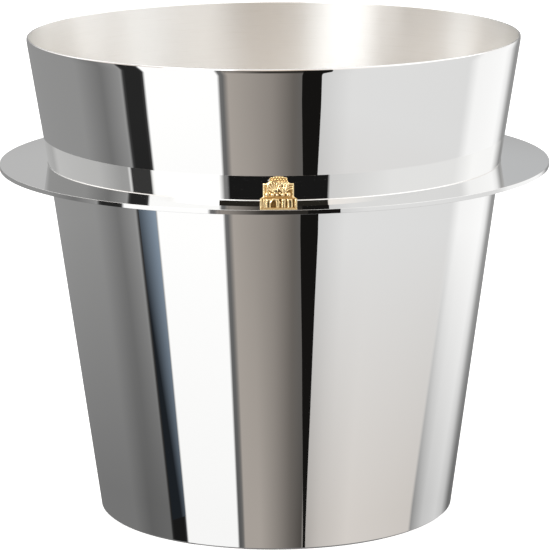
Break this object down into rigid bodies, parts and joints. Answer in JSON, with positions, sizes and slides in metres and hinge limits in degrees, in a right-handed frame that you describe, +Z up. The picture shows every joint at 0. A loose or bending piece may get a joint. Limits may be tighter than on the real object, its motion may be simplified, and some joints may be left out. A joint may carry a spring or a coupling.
{
  "type": "champagne bucket",
  "caption": "Tapered mirror-polished metal wine cooler with a flat lifting collar, satin inside and a small gilt ornament on the collar.",
  "frame": {"origin": "middle of the resting plane, under the bucket's axis", "axes": "+Z up along the bucket's axis; the ornament is on the -Y side of the collar"},
  "size_m": [0.257, 0.257, 0.225],
  "materials": {
    "silver_mirror": "mirror-polished silver plate on brass outside, circularly brushed satin silver inside",
    "silver_base": "polished silver plate on brass, satin inside the bucket",
    "silver_solder": "silver solder, dressed smooth and plated over",
    "gilt": "gold-plated brass casting, bright relief with darker recesses",
    "screw_brass": "turned brass, nickel-bright"
  },
  "bodies": {
    "root": {"body_wall": "silver_mirror", "base_plate": "silver_base", "base_solder": "silver_solder", "collar": "silver_mirror", "collar_solder_top": "silver_solder", "collar_solder_under": "silver_solder", "ornament": "gilt", "ornament_screws": "screw_brass"}
  },
  "joints": []
}
